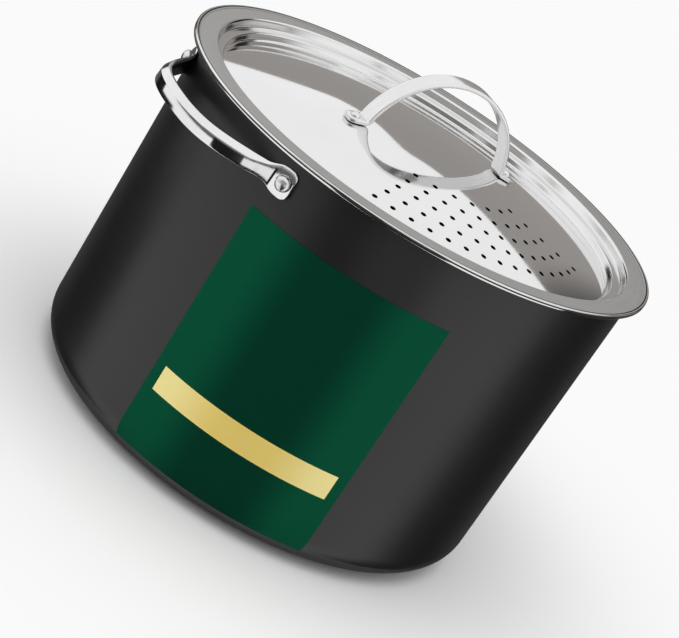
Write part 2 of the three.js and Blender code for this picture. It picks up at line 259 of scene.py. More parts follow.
def newGroup(name, inputs, outputs):
    group = bpy.data.node_groups.new(name, "ShaderNodeTree")
    for label, value in inputs.items():
        kind = "NodeSocketVector" if isinstance(value, tuple) else "NodeSocketFloat"
        group.interface.new_socket(label, in_out="INPUT", socket_type=kind).default_value = value
    for label in outputs:
        group.interface.new_socket(label, in_out="OUTPUT", socket_type="NodeSocketFloat")
    return group, addNode(group, "NodeGroupInput").outputs, addNode(group, "NodeGroupOutput")


def noiseMask(tree, vector, scale, detail, low=0.3, high=0.7):
    noise = namedNode(tree, "ShaderNodeTexNoise", {
        "Vector": vector, "Scale": scale, "Detail": detail, "Roughness": 0.6})
    return mapRange(tree, noise.outputs[0], low, high, 0, 1)


# fine lines left by polishing, drawn out along the stretch, and slow smudges
def makePolishLines():
    group, given, result = newGroup(
        "polishLines", dict(Vector=(0, 0, 0), Stretch=(1, 1, 1), Scale=900), ["Lines", "Smudge"])
    drawn = vectorMath(group, "MULTIPLY", given["Vector"], given["Stretch"])
    feedNamed(group, result, {
        "Lines": noiseMask(group, drawn, given["Scale"], detail=3, low=0.35),
        "Smudge": noiseMask(group, given["Vector"], scale=26, detail=4, high=0.75)})
    return group


# turned finish: fine rings about Z with slow changes round the piece
def makeRingBrush():
    group, given, result = newGroup(
        "ringBrush", dict(Vector=(0, 0, 0), Scale=1), ["Rings", "Sweep"])
    x, y, _ = split(group, given["Vector"])
    flat = combine(group, x, y)
    unit = vectorMath(group, "NORMALIZE", flat)
    unitX, unitY, _ = split(group, unit)
    radius = vectorMath(group, "LENGTH", flat)
    ringPitch, roundPitch = 2600, 2.2
    pitches = ((radius, ringPitch), (unitX, roundPitch), (unitY, roundPitch))
    spot = combine(group, *(mathNode(group, "MULTIPLY", *pair) for pair in pitches))
    feedNamed(group, result, {
        "Rings": noiseMask(group, spot, given["Scale"], detail=2),
        "Sweep": noiseMask(group, unit, scale=1.7, detail=2)})
    return group


# fine even grain of a sprayed or printed surface, with slow patches
def makeFineGrain():
    group, given, result = newGroup(
        "fineGrain", dict(Vector=(0, 0, 0), Scale=1800), ["Grain", "Patches"])
    feedNamed(group, result, {
        "Grain": noiseMask(group, given["Vector"], given["Scale"], detail=2),
        "Patches": noiseMask(group, given["Vector"], scale=9, detail=3)})
    return group


def placeGroup(tree, group, vector, values):
    return namedNode(tree, "ShaderNodeGroup", {"Vector": vector, **values}, node_tree=group).outputs


def newMaterial(name, values):
    material = bpy.data.materials.new(name)
    material.use_nodes = True
    tree = material.node_tree
    return material, tree, feedNamed(tree, tree.nodes["Principled BSDF"], values)


def addBump(tree, shader, height, distance):
    bump = namedNode(tree, "ShaderNodeBump", {
        "Strength": 1, "Distance": distance, "Height": height})
    feed(tree, shader.inputs["Normal"], bump.outputs[0])


def objectSpot(tree):
    return addNode(tree, "ShaderNodeTexCoord").outputs["Object"]


def mapSpot(tree):
    return addNode(tree, "ShaderNodeUVMap", uv_map="finishMap").outputs[0]


polishLines = makePolishLines()
ringBrush = makeRingBrush()
fineGrain = makeFineGrain()
print("surface effects ready")


# finishes: colour and roughness run between two values by a mask, bump is a mask and a depth

steel = {"Metallic": 1}
even = (1, 1, 1)


def maskColour(tree, masks, look):
    mask, first, second = look["colour"]
    shade = look.get("shade", grey)
    return mixColour(tree, masks[mask], shade(first), shade(second))


def makeFinish(name, look, colour=maskColour):
    material, tree, shader = newMaterial(name, look.get("shader", steel))
    masks = {}
    for effect, values in look["effects"]:
        masks.update(placeGroup(tree, effect, look.get("spot", objectSpot)(tree), values).items())
    mask, low, high = look["rough"]
    feedNamed(tree, shader, {
        "Base Color": colour(tree, masks, look),
        "Roughness": mapRange(tree, masks[mask], 0, 1, low, high)})
    if "bump" in look:
        mask, depth = look["bump"]
        addBump(tree, shader, masks[mask], depth)
    return material


blackCoat = dict(
    shader={"Specular IOR Level": 0.5}, effects=[(fineGrain, {"Scale": 1500})],
    colour=("Grain", 0.0062, 0.0092), rough=("Patches", 0.30, 0.37), bump=("Grain", 0.000006))
coat = makeFinish("satinBlackCoat", blackCoat)

insideCoat = dict(blackCoat, colour=("Grain", 0.028, 0.042), rough=("Patches", 0.40, 0.48))
inside = makeFinish("greyInsideCoat", insideCoat)

# bright polished steel on the straps, lines running along them
strap = makeFinish("polishedStrapSteel", dict(
    spot=mapSpot, effects=[(polishLines, {"Stretch": (0.05, 1, 1), "Scale": 2200})],
    colour=("Smudge", 0.84, 0.76), rough=("Smudge", 0.055, 0.12), bump=("Lines", 0.0000015)))

# softer polish of the lid's handle
softStrap = makeFinish("softArchSteel", dict(
    spot=mapSpot, effects=[(polishLines, {"Stretch": (0.04, 1, 1), "Scale": 1800})],
    colour=("Lines", 0.83, 0.74), rough=("Smudge", 0.13, 0.20), bump=("Lines", 0.000002)))

rivetFinish = makeFinish("rivetSteel", dict(
    effects=[(polishLines, {"Stretch": even, "Scale": 700})],
    colour=("Lines", 0.82, 0.72), rough=("Lines", 0.22, 0.30)))

# mirror finish of the lid's dome and rim band
mirror = makeFinish("mirrorLidSteel", dict(
    effects=[(polishLines, {"Stretch": even, "Scale": 420}), (ringBrush, {"Scale": 0.6})],
    colour=("Smudge", 0.81, 0.775), rough=("Rings", 0.03, 0.07)))

# drawn finish of the lid's stepped walls
drawnWall = makeFinish("drawnWallSteel", dict(
    effects=[(ringBrush, {"Scale": 0.8})],
    colour=("Rings", 0.76, 0.84), rough=("Sweep", 0.10, 0.16)))

# turned satin finish of the lid's flange
flange = makeFinish("satinFlangeSteel", dict(
    shader={"Metallic": 0.7, "Specular IOR Level": 0}, effects=[(ringBrush, {"Scale": 1})],
    colour=("Rings", 0.35, 0.42), shade=warmGrey, rough=("Rings", 0.40, 0.50),
    bump=("Rings", 0.000001)))

base = makeFinish("turnedBaseSteel", dict(
    effects=[(ringBrush, {"Scale": 0.5})],
    colour=("Rings", 0.46, 0.58), rough=("Sweep", 0.26, 0.42), bump=("Rings", 0.00001)))
print("finishes ready")


# pot

disc = dict(radius=92, thickness=2.6, proud=0.6, chamfer=0.7, grooves=(34, 66), grooveWidth=3,
            grooveDepth=0.5, grooveSteps=8, segments=192)

pot = dict(height=175, rimRadius=123.6, taper=1.6, wall=3, floor=3.2, corner=18, rimRound=0.8,
           lipReach=1.9, lipHeight=1.8, notchCount=3, notchLength=32, notchRelief=0.2,
           segments=288)


def wallRadius(height):
    share = (height - disc["proud"]) / (pot["height"] - disc["proud"])
    return pot["rimRadius"] - pot["taper"] * (1 - share)


def lockAngles():
    first = math.pi / 2 + lidTurn
    return [first + 2 * math.pi * i / pot["notchCount"] for i in range(pot["notchCount"])]


def nearLock(angle, half):
    return any(abs(math.remainder(angle - lock, 2 * math.pi)) <= half for lock in lockAngles())


# the lip is pushed back to the wall over each notch, so the lid's lugs can pass
def makePot():
    recessTop = disc["thickness"] + seatGap
    recessRadius = disc["radius"] + seatGap
    floorTop = recessTop + pot["floor"]
    top, lipBottom = pot["height"], pot["height"] - pot["lipHeight"]
    baseRadius = pot["rimRadius"] - pot["taper"]
    mouthRadius = pot["rimRadius"] - pot["wall"]
    lipRadius = mouthRadius - pot["lipReach"]
    profile = roundCorners([
        (0, recessTop),
        (recessRadius, recessTop),
        (recessRadius, disc["proud"]),
        (baseRadius, disc["proud"], pot["corner"]),
        (pot["rimRadius"], top, pot["rimRound"]),
        (lipRadius, top, pot["rimRound"] / 2),
        (lipRadius, lipBottom),
        (wallRadius(lipBottom) - pot["wall"], lipBottom),
        (wallRadius(floorTop) - pot["wall"], floorTop, pot["corner"] - pot["wall"]),
        (0, floorTop),
    ])
    verts, faces = latheShape(profile, pot["segments"])
    notchOuter = mouthRadius + pot["notchRelief"]
    half = pot["notchLength"] / 2 / notchOuter
    opened = []
    for x, y, z in verts:
        radius = math.hypot(x, y)
        inLip = lipBottom - hair <= z and radius < notchOuter
        if inLip and nearLock(math.atan2(y, x), half):
            x, y = x * notchOuter / radius, y * notchOuter / radius
        opened.append((x, y, z))
    piece = newPiece("potShell", opened, faces)
    addFinishes(piece, coat, inside)
    for face in piece.data.polygons:
        radius, height = faceSpot(face)
        within = radius < wallRadius(height) - pot["wall"] / 2
        if within and recessTop + pot["floor"] / 2 < height < lipBottom:
            face.material_index = 1
    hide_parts("pot_body")
    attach(piece, "pot")


def makeDisc():
    profile = [Vector((0, 0))]
    for middle in disc["grooves"]:
        for k in range(disc["grooveSteps"] + 1):
            share = 2 * k / disc["grooveSteps"] - 1
            depth = disc["grooveDepth"] * (1 - share * share)
            profile.append(Vector((middle + share * disc["grooveWidth"] / 2, depth)))
    profile += roundCorners([
        (disc["radius"] - disc["chamfer"], 0),
        (disc["radius"], 0, disc["chamfer"]),
        (disc["radius"], disc["thickness"]),
        (0, disc["thickness"]),
    ])
    piece = newPiece("baseDisc", *latheShape(profile, disc["segments"]))
    addFinishes(piece, base)
    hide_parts("base_disc")
    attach(piece, "pot")


makePot()
makeDisc()
print("pot and base disc made")


# label: a plain printed panel with one plain band, on the side that faces the camera

label = dict(middle=-131.8, half=25.5, bottom=9.5, top=143, bandHalf=22.9, bandBottom=40.7,
             bandTop=54.1, lift=0.08, thickness=0.14, columns=60, rows=66)

# middle and side colours are the print colour with a painted reflection: darker down the middle,
# lighter to the sides
greenInkAndReflection = dict(shader={"Specular IOR Level": 0.02},
                effects=[(fineGrain, {"Scale": 2600})], middle=(0.0006, 0.0315, 0.0165, 1),
                side=(0.0018, 0.072, 0.0345, 1), fade=(0.13, 0.37), wear=("Grain", 0.12, "side"),
                rough=("Patches", 0.5, 0.6), bump=("Grain", 0.000004))

goldInkAndReflection = dict(shader={"Metallic": 0.25, "Specular IOR Level": 0.4}, spot=mapSpot,
               effects=[(polishLines, {"Stretch": (0.6, 8, 1), "Scale": 60})],
               middle=(0.87, 0.66, 0.17, 1), side=(0.90, 0.78, 0.32, 1), fade=(0.1, 0.4),
               wear=("Lines", 0.15, "middle"), rough=("Lines", 0.38, 0.48))


def outerRadius(height):
    turnLevel = pot["corner"] + disc["proud"]
    if height >= turnLevel:
        return wallRadius(height)
    drop = turnLevel - height
    return wallRadius(turnLevel) - pot["corner"] + math.sqrt(pot["corner"] ** 2 - drop ** 2)


# painted reflection: the colour runs from a darker middle of the label to lighter sides, in place
# of reflected dark and bright bands, and the print wears towards one of the two colours
def inkWithPaintedReflection(tree, masks, inkAndReflection):
    across = mathNode(tree, "SUBTRACT", split(tree, mapSpot(tree))[0], 0.5)
    share = mapRange(tree, mathNode(tree, "ABSOLUTE", across), *inkAndReflection["fade"], 0, 1, smooth=True)
    reflectionShadedInk = mixColour(tree, share, inkAndReflection["middle"], inkAndReflection["side"])
    mask, most, towards = inkAndReflection["wear"]
    return mixColour(tree, mapRange(tree, masks[mask], 0, 1, 0, most), reflectionShadedInk, inkAndReflection[towards])


def gridLines(low, high, count, marks):
    step = (high - low) / count
    lines = [low + (high - low) * i / count for i in range(count + 1)]
    kept = [line for line in lines if all(abs(line - mark) > step / 2 for mark in marks)]
    return sorted(kept + list(marks))


def makeLabel():
    angles = gridLines(-label["half"], label["half"], label["columns"],
                       (-label["bandHalf"], label["bandHalf"]))
    heights = gridLines(label["bottom"], label["top"], label["rows"],
                        (label["bandBottom"], label["bandTop"]))
    verts, faces, uvs, gold = [], [], [], []
    for lift in (label["lift"] + label["thickness"], label["lift"]):
        for height in heights:
            radius = outerRadius(height) + lift
            verts += [turned(radius, math.radians(label["middle"] + angle), height)
                      for angle in angles]
    wide, tall = len(angles), len(heights)
    back = wide * tall

    def addFace(corners):
        faces.append(corners)
        spots = []
        for corner in corners:
            row, column = divmod(corner % back, wide)
            spots.append(((angles[column] / label["half"] + 1) / 2,
                          (heights[row] - label["bottom"]) / (label["top"] - label["bottom"])))
        uvs.append(spots)
        middleU = sum(u for u, _ in spots) / len(spots)
        middleV = sum(v for _, v in spots) / len(spots)
        angle = (middleU * 2 - 1) * label["half"]
        height = label["bottom"] + middleV * (label["top"] - label["bottom"])
        inBand = abs(angle) < label["bandHalf"] and label["bandBottom"] < height < label["bandTop"]
        gold.append(1 if inBand else 0)

    for row in range(tall - 1):
        for column in range(wide - 1):
            a = row * wide + column
            addFace((a, a + 1, a + wide + 1, a + wide))
            addFace((back + a, back + a + wide, back + a + wide + 1, back + a + 1))
    for column in range(wide - 1):
        top = (tall - 1) * wide + column
        addFace((column, back + column, back + column + 1, column + 1))
        addFace((top, top + 1, back + top + 1, back + top))
    for row in range(tall - 1):
        left, right = row * wide, row * wide + wide - 1
        addFace((left, left + wide, back + left + wide, back + left))
        addFace((right, back + right, back + right + wide, right + wide))
    piece = newPiece("frontLabel", verts, faces, uvs)
    addFinishes(piece, makeFinish("labelGreen", greenInkAndReflection, inkWithPaintedReflection),
                makeFinish("labelGold", goldInkAndReflection, inkWithPaintedReflection))
    piece.data.polygons.foreach_set("material_index", gold)
    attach(piece, "pot")


makeLabel()
print("label made")


# side handles

handle = dict(rivetSpan=111, drop=13.9, projection=25.5, strapHeight=8.8, strapThickness=5,
              tangHeight=14.4, tangTipHeight=8.4, tangThickness=2.4, tangTip=5, tipReach=4.2,
              tangBend=6.2, bendRadius=8.6, bendAngle=20, bendReach=24, gripReach=32, gripBlend=16,
              bevel=2.9, bevelSlant=0.7, tangBevel=0.7, neckStart=2.2, faceLean=0.105,
              edgeRound=0.7, tangRound=0.6, tangSteps=18, bendSteps=8, curveStart=3, samples=64)


def handleHeight():
    return pot["height"] - handle["drop"]


def rivetAngle():
    return math.asin(handle["rivetSpan"] / 2 / pot["rimRadius"])


def bezierPoint(share, a, b, c, d):
    rest = 1 - share
    return a * rest ** 3 + b * 3 * rest ** 2 * share + c * 3 * rest * share ** 2 + d * share ** 3


# inner face of the handle at +X, seen from above, from a tang's tip to the middle of the grip
def handleHalfPath():
    wall = wallRadius(handleHeight())
    seat = wall + seatGap
    tipAngle = rivetAngle() + handle["tangTip"] / seat
    leaveAngle = rivetAngle() - handle["tangBend"] / seat

    def onSeat(angle):
        return Vector((seat * math.cos(angle), seat * math.sin(angle)))

    leave = onSeat(leaveAngle)
    liftTurn = leaveAngle + math.radians(handle["bendAngle"])
    lift = Vector((math.sin(liftTurn), -math.cos(liftTurn)))
    gripFace = wall + handle["projection"] - handle["strapThickness"]
    curve = (leave, leave + lift * handle["bendReach"],
             Vector((gripFace, handle["gripReach"])), Vector((gripFace, 0)))
    tangSteps, samples = handle["tangSteps"], handle["samples"]
    clear = handle["bendRadius"] / 2 / seat
    corners = [onSeat(tipAngle + (leaveAngle + clear - tipAngle) * i / tangSteps).to_tuple()
               for i in range(tangSteps + 1)]
    corners.append((*leave, handle["bendRadius"]))
    corners += [bezierPoint(i / samples, *curve).to_tuple()
                for i in range(handle["curveStart"], samples + 1)]
    return roundCorners(corners, steps=handle["bendSteps"])


# bar section with a bevel on the upper outer edge, as (out, across) points
def strapSection(thickness, width, bevel, edge):
    half = width / 2
    lean = (width - bevel) * handle["faceLean"]
    return roundCorners([
        (thickness, -half, edge),
        (thickness - lean, half - bevel, edge / 2),
        (thickness - lean - bevel * handle["bevelSlant"], half, edge / 2),
        (0, half, edge),
        (0, -half, edge),
    ], steps=4)


def makeSideHandle(name, turn, node):
    half = handleHalfPath()
    lengths = runLengths(half)
    path = half + [Vector((p.x, -p.y)) for p in reversed(half[:-1])]
    lengths += lengths[-2::-1]
    bendMark = handle["tangTip"] + handle["tangBend"]
    neckMark = handle["tangTip"] + handle["neckStart"]
    spin = Matrix.Rotation(turn, 3, "Z")
    stations = []
    for point, way, length in zip(path, directions(path), lengths):
        grown = smoothStep(bendMark, bendMark + handle["gripBlend"], length)
        thickness = blend(handle["tangThickness"], handle["strapThickness"], grown)
        shield = tipWidth(length, handle["tipReach"], handle["tangTipHeight"], handle["tangHeight"])
        neck = smoothStep(neckMark, bendMark + handle["tangBend"], length)
        width = blend(shield, handle["strapHeight"], neck)
        bevel = blend(handle["tangBevel"], handle["bevel"], grown)
        edge = blend(handle["tangRound"], handle["edgeRound"], grown)
        stations.append(dict(
            point=spin @ Vector((point.x, point.y, handleHeight())),
            out=spin @ Vector((-way.y, way.x, 0)),
            across=Vector((0, 0, 1)),
            section=strapSection(thickness, width, bevel, edge)))
    piece = newPiece(name, *sweepShape(stations), sharp=28)
    addFinishes(piece, strap)
    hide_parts(node)
    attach(piece, "pot")


makeSideHandle("sideHandleRight", 0, "right_handle")
makeSideHandle("sideHandleLeft", math.pi, "left_handle")
print("side handles made")


# lid

lid = dict(overhang=6.4, sheet=0.8, mouthGap=0.9, flangeSlope=0.05, flangeRound=1.6, flangeDrop=1,
           stepRound=1, wallDraft=0.7, ledgeDepth=5, ledgeWidth=4.6, ledgeTilt=0.3, floorDepth=8.8,
           domeRise=15.5, domeSpread=70, domeRings=72, domeMargin=2, domeFacing=0.8, segments=288)

lug = dict(length=26, height=1.4, gap=0.4, wallGap=0.7, steps=10)

band = dict(reach=2.6, wall=0.55, round=0.54, edgeGap=0.6, lift=0.06, feather=0.1, seamIn=1.15,
            seamWidth=0.7, seamDepth=0.5, seamStep=0.1, foldDrop=1.0, foldHalf=0.38, foldDepth=0.3,
            segments=288)

lidSeat = pot["height"] + seatGap
lidRadius = pot["rimRadius"] + lid["overhang"]
lidWall = pot["rimRadius"] - pot["wall"] - pot["lipReach"] - lid["mouthGap"] - lid["sheet"]
flangeEdge = lidRadius - band["wall"] - band["edgeGap"]


def flangeHeight(radius):
    return lidSeat + lid["sheet"] + (pot["rimRadius"] - radius) * lid["flangeSlope"]


flangeLevel = flangeHeight(lidWall)
ledgeLevel = flangeLevel - lid["ledgeDepth"]
floorLevel = flangeLevel - lid["floorDepth"]
ledgeRadius = lidWall - lid["wallDraft"]
floorRadius = ledgeRadius - lid["ledgeWidth"] - lid["wallDraft"]


def domeHeight(radius):
    edge = math.hypot(lid["domeSpread"], floorRadius)
    share = (edge - math.hypot(lid["domeSpread"], radius)) / (edge - lid["domeSpread"])
    return floorLevel + lid["domeRise"] * share


def domeSlope(radius):
    edge = math.hypot(lid["domeSpread"], floorRadius)
    reach = math.hypot(lid["domeSpread"], radius)
    return -lid["domeRise"] * radius / reach / (edge - lid["domeSpread"])


strainer = dict(arcs=5, firstCount=7, countStep=2, sides=24, firstRadius=51, pitch=10.15,
                holeRadius=1.5, halfAngle=36.4, spread=1.8, drillMargin=6)


def newGeometryTree(name, inputs):
    tree = bpy.data.node_groups.new(name, "GeometryNodeTree")
    for side in ("INPUT", "OUTPUT"):
        tree.interface.new_socket("Geometry", in_out=side, socket_type="NodeSocketGeometry")
    for kind, labels in inputs.items():
        for label in labels:
            tree.interface.new_socket(label, in_out="INPUT", socket_type="NodeSocket" + kind)
    return tree, addNode(tree, "NodeGroupInput").outputs, addNode(tree, "NodeGroupOutput")


def endTree(tree, geometry, finish, result):
    last = addNode(tree, "GeometryNodeSetMaterial")
    feedNamed(tree, last, {"Geometry": geometry, "Material": finish})
    feed(tree, result.inputs[0], last.outputs[0])


# runs a tree on a piece with its named values, then keeps the result as a plain mesh
def bakeTree(piece, tree, values):
    modifier = piece.modifiers.new(tree.name, "NODES")
    modifier.node_group = tree
    for item in tree.interface.items_tree:
        if item.in_out == "INPUT" and item.name in values:
            modifier[item.identifier] = values[item.name]
    graph = bpy.context.evaluated_depsgraph_get()
    mesh = bpy.data.meshes.new_from_object(piece.evaluated_get(graph), depsgraph=graph)
    mesh.name = piece.name
    piece.modifiers.clear()
    piece.data = mesh


# drills holes through a plate on arcs about Z that hold more holes towards the edge
def makeStrainerTree():
    tree, value, result = newGeometryTree("strainerHoles", {
        "Int": ("arcs", "firstCount", "countStep", "sides"),
        "Float": ("firstRadius", "pitch", "holeRadius", "halfAngle", "spread", "turn", "level",
                  "depth"),
        "Material": ("finish",)})
    plus, minus, times, over = (
        partial(mathNode, tree, name) for name in ("ADD", "SUBTRACT", "MULTIPLY", "DIVIDE"))
    step, first = value["countStep"], value["firstCount"]
    halfStep = times(step, 0.5)
    lead = minus(first, halfStep)

    def holesBefore(arc):
        return plus(times(times(arc, arc), halfStep), times(lead, arc))

    # the arc that a hole belongs to, from the running count of holes
    index = addNode(tree, "GeometryNodeInputIndex").outputs[0]
    under = plus(times(lead, lead), times(times(step, 2), index))
    root = minus(mathNode(tree, "SQRT", under), lead)
    roundingGuard = 0.0001
    arc = mathNode(tree, "FLOOR", plus(over(root, step), roundingGuard))
    place = minus(index, holesBefore(arc))
    count = plus(first, times(step, arc))
    share = over(times(place, 2), minus(count, 1))
    reach = plus(value["halfAngle"], times(value["spread"], arc))
    angle = plus(times(reach, minus(share, 1)), value["turn"])
    radius = plus(value["firstRadius"], times(value["pitch"], arc))
    spot = combine(tree, times(radius, mathNode(tree, "COSINE", angle)),
                   times(radius, mathNode(tree, "SINE", angle)), value["level"])
    points = namedNode(tree, "GeometryNodePoints", {
        "Count": holesBefore(value["arcs"]), "Position": spot})
    drill = namedNode(tree, "GeometryNodeMeshCylinder", {
        "Vertices": value["sides"], "Radius": value["holeRadius"], "Depth": value["depth"]})
    drills = namedNode(tree, "GeometryNodeInstanceOnPoints", {
        "Points": points.outputs[0], "Instance": drill.outputs["Mesh"]})
    real = addNode(tree, "GeometryNodeRealizeInstances", drills.outputs[0])
    cut = namedNode(tree, "GeometryNodeMeshBoolean", {
        "Mesh 1": value["Geometry"], "Mesh 2": real.outputs[0]},
        operation="DIFFERENCE", solver="MANIFOLD")
    solid = addNode(tree, "GeometryNodeRealizeInstances", cut.outputs["Mesh"])
    endTree(tree, solid.outputs[0], value["finish"], result)
    return tree


# a curved block under the lid's rim that turns below the pot's lip
def addLug(verts, faces, angle):
    top = pot["height"] - pot["lipHeight"] - lug["gap"]
    inner = ledgeRadius + lid["sheet"] / 2
    outer = pot["rimRadius"] - pot["wall"] - lug["wallGap"]
    half = lug["length"] / 2 / outer
    start = len(verts)
    for i in range(lug["steps"] + 1):
        turn = angle + half * (2 * i / lug["steps"] - 1)
        for radius, height in ((inner, top - lug["height"]), (outer, top - lug["height"]),
                               (outer, top), (inner, top)):
            verts.append(turned(radius, turn, height))
    for i in range(lug["steps"]):
        a = start + 4 * i
        for j in range(4):
            k = (j + 1) % 4
            faces.append((a + j, a + 4 + j, a + 4 + k, a + k))
    end = start + 4 * lug["steps"]
    faces.append((start, start + 1, start + 2, start + 3))
    faces.append((end + 3, end + 2, end + 1, end))


# the drilled dome keeps the smooth dome's own normals, so its mirror stays clean round the holes
def trueDomeNormals(mesh):
    normals = [Vector((0, 0, 0))] * len(mesh.loops)
    for face in mesh.polygons:
        onEdge = faceSpot(face)[0] > floorRadius - lid["domeMargin"]
        if abs(face.normal.z) < lid["domeFacing"] or onEdge:
            continue
        for k in face.loop_indices:
            spot = mesh.vertices[mesh.loops[k].vertex_index].co / mm
            slope = domeSlope(math.hypot(spot.x, spot.y))
            radial = spot.xy.normalized()
            normal = Vector((-slope * radial.x, -slope * radial.y, 1)).normalized()
            normals[k] = normal if face.normal.z > 0 else -normal
    mesh.normals_split_custom_set(normals)


def makeLidPlate():
    dome = []
    for i in range(lid["domeRings"]):
        radius = floorRadius * i / lid["domeRings"]
        dome.append((radius, domeHeight(radius)))
    topFace = roundCorners([
        *dome[:-1],
        (floorRadius, floorLevel, lid["stepRound"]),
        (floorRadius + lid["wallDraft"], ledgeLevel - lid["ledgeTilt"], lid["stepRound"]),
        (ledgeRadius, ledgeLevel + lid["ledgeTilt"], lid["stepRound"]),
        (lidWall, flangeLevel, lid["flangeRound"]),
        (flangeEdge, flangeHeight(flangeEdge)),
    ], sag=0.006)
    underside = offsetLine(topFace, lid["sheet"])
    verts, faces = latheShape(underside + topFace[::-1], lid["segments"])
    piece = newPiece("lidPlate", verts, faces)
    level = (domeHeight(0) + floorLevel) / 2
    values = {key: strainer[key] for key in ("arcs", "firstCount", "countStep", "sides")}
    for key in ("firstRadius", "pitch", "holeRadius"):
        values[key] = strainer[key] * mm
    for key in ("halfAngle", "spread"):
        values[key] = math.radians(strainer[key])
    depth = lid["domeRise"] + strainer["drillMargin"]
    values.update(turn=lidTurn - math.pi / 2, level=level * mm, depth=depth * mm, finish=mirror)
    bakeTree(piece, makeStrainerTree(), values)
    smoothMesh(piece.data, sharp=24)
    piece.data.materials.clear()
    addFinishes(piece, mirror, drawnWall, flange)
    for face in piece.data.polygons:
        radius, height = faceSpot(face)
        outside = radius > lidWall + lid["flangeRound"] / 2
        onFlange = outside and height > flangeLevel - lid["flangeDrop"]
        face.material_index = 2 if onFlange else 1 if radius > floorRadius else 0
    trueDomeNormals(piece.data)
    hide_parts("lid_plate")
    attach(piece, "lid")
    lugVerts, lugFaces = [], []
    for angle in lockAngles():
        addLug(lugVerts, lugFaces, angle)
    lugs = newPiece("lidLugs", lugVerts, lugFaces)
    addFinishes(lugs, flange)
    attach(lugs, "lid")


def makeBand():
    inner = lidRadius - band["reach"]
    slotOuter = lidRadius - band["wall"]
    slotBottom = flangeHeight(slotOuter) - lid["sheet"] - seatGap
    slotTop = flangeHeight(inner) + band["lift"]
    top = slotTop + band["wall"]
    seam = lidRadius - band["seamIn"]
    fold = top - band["foldDrop"]
    profile = roundCorners([
        (inner, slotBottom - band["wall"]),
        (lidRadius, slotBottom - band["wall"], band["round"]),
        (lidRadius, fold - band["foldHalf"]),
        (lidRadius - band["foldDepth"], fold),
        (lidRadius, fold + band["foldHalf"]),
        (lidRadius, top, band["round"]),
        (seam, top),
        (seam - band["seamWidth"] / 2, top - band["seamDepth"]),
        (seam - band["seamWidth"], top - band["seamStep"]),
        (inner, slotTop + band["feather"]),
        (inner, slotTop),
        (slotOuter, slotTop),
        (slotOuter, slotBottom),
        (inner, slotBottom),
    ], sag=0.006)
    piece = newPiece("lidRimBand", *latheShape(profile, band["segments"], closed=True))
    addFinishes(piece, mirror, flange, coat)
    # painted shade: the seam groove and the fold take the black coat, dark lines in place of the
    # shade in these creases
    for face in piece.data.polygons:
        radius, height = faceSpot(face)
        if height > slotTop and radius < seam:
            face.material_index = 2 if radius > seam - band["seamWidth"] else 1
        elif radius > slotOuter and abs(height - fold) < band["foldHalf"]:
            face.material_index = 2
    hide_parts("lid_rim_band")
    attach(piece, "lid_rim")


makeLidPlate()
makeBand()
print("lid plate and rim band made")


# lid handle

arch = dict(halfSpan=42, rise=35.3, width=10.5, thickness=2.2, edgeRound=0.6, footLength=11,
            footBend=3.2, bendClear=1.4, bendSteps=10, footSteps=14, rivetOffset=6.5, footTip=5,
            footTipWidth=4.5, samples=72)


def archPath():
    def onDome(x):
        return (x, domeHeight(abs(x)) + seatGap)

    low = onDome(arch["halfSpan"])[1]
    radius = (arch["halfSpan"] ** 2 + arch["rise"] ** 2) / (2 * arch["rise"])
    half = math.pi - math.acos((arch["rise"] - radius) / radius)
    clear = arch["bendClear"] * arch["footBend"]
    straight, footSteps = arch["footLength"] - clear, arch["footSteps"]
    foot = [onDome(-arch["halfSpan"] - arch["footLength"] + straight * i / footSteps)
            for i in range(footSteps + 1)]
    bow = []
    for i in range(arch["samples"] + 1):
        angle = half * (2 * i / arch["samples"] - 1)
        spot = (radius * math.sin(angle), low + arch["rise"] - radius + radius * math.cos(angle))
        if spot[1] > low + clear:
            bow.append(spot)
    return roundCorners([
        *foot,
        (*onDome(-arch["halfSpan"]), arch["footBend"]),
        *bow,
        (*onDome(arch["halfSpan"]), arch["footBend"]),
        *[(-x, y) for x, y in reversed(foot)],
    ], steps=arch["bendSteps"])


def makeLidHandle():
    path = archPath()
    lengths = runLengths(path)
    spin = Matrix.Rotation(lidTurn, 3, "Z")
    stations = []
    for point, way, length in zip(path, directions(path), lengths):
        fromTip = min(length, lengths[-1] - length)
        half = tipWidth(fromTip, arch["footTip"], arch["footTipWidth"], arch["width"]) / 2
        edge = arch["edgeRound"]
        section = roundCorners([
            (arch["thickness"], -half, edge), (arch["thickness"], half, edge),
            (0, half, edge), (0, -half, edge)], steps=4)
        stations.append(dict(
            point=spin @ Vector((point.x, 0, point.y)),
            out=spin @ Vector((-way.y, 0, way.x)),
            across=spin @ Vector((0, -1, 0)),
            section=section))
    piece = newPiece("lidHandle", *sweepShape(stations), sharp=28)
    addFinishes(piece, softStrap)
    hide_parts("lid_handle")
    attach(piece, "lid")


makeLidHandle()
print("lid handle made")


# rivets: domed heads on a shank, spread over marked points

sideRivet = dict(headRadius=4.1, headHeight=2.9, shankRadius=3, backRadius=5, backHeight=1.2,
                 backGap=0.55)
lidRivet = dict(headRadius=2.8, headHeight=1.9, shankRadius=1.9, backRadius=3, backHeight=0.9,
                backGap=0.3)
rivetMesh = dict(segments=32, rings=18, shankSides=24)


